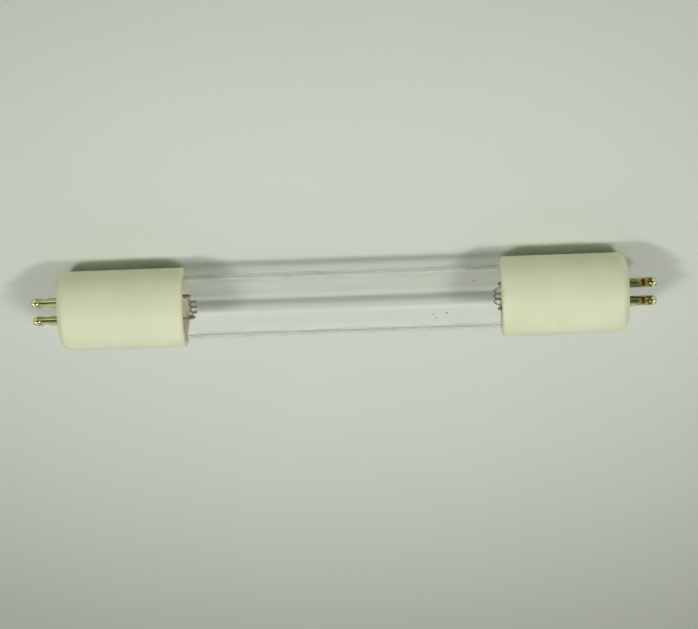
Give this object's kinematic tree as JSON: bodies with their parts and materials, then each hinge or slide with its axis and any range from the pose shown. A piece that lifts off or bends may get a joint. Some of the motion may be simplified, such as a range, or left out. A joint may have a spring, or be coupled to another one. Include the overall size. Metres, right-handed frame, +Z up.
{
  "type": "germicidal lamp tube",
  "caption": "Straight ultraviolet lamp: clear quartz tube with a glazed ceramic base, coiled electrode and pair of contact pins at each end.",
  "frame": {"origin": "on the surface that the lamp lies on, below its middle", "axes": "+X along the lamp from its left base to its right one, +Y towards the side that the picture shows, +Z up"},
  "size_m": [0.149, 0.019, 0.019],
  "materials": {
    "quartz": "clear fused quartz",
    "glazed_ceramic": "satin cream glaze",
    "cement": "dull tan basing cement",
    "plated_brass": "worn nickel plating over brass",
    "nickel_wire": "dull drawn wire",
    "molybdenum": "rolled foil",
    "tungsten": "grey coiled wire with emitter",
    "mercury": "liquid metal"
  },
  "bodies": {
    "root": {"cement_left": "cement", "cement_right": "cement", "ceramic_base_left": "glazed_ceramic", "ceramic_base_right": "glazed_ceramic", "contact_pin_left_front": "plated_brass", "contact_pin_left_rear": "plated_brass", "contact_pin_right_front": "plated_brass", "contact_pin_right_rear": "plated_brass", "electrode_post_left_front": "nickel_wire", "electrode_post_left_rear": "nickel_wire", "electrode_post_right_front": "nickel_wire", "electrode_post_right_rear": "nickel_wire", "filament_left": "tungsten", "filament_right": "tungsten", "mercury_droplets": "mercury", "outer_lead_left_front": "nickel_wire", "outer_lead_left_rear": "nickel_wire", "outer_lead_right_front": "nickel_wire", "outer_lead_right_rear": "nickel_wire", "quartz_envelope": "quartz", "seal_foil_left_front": "molybdenum", "seal_foil_left_rear": "molybdenum", "seal_foil_right_front": "molybdenum", "seal_foil_right_rear": "molybdenum"}
  },
  "joints": []
}
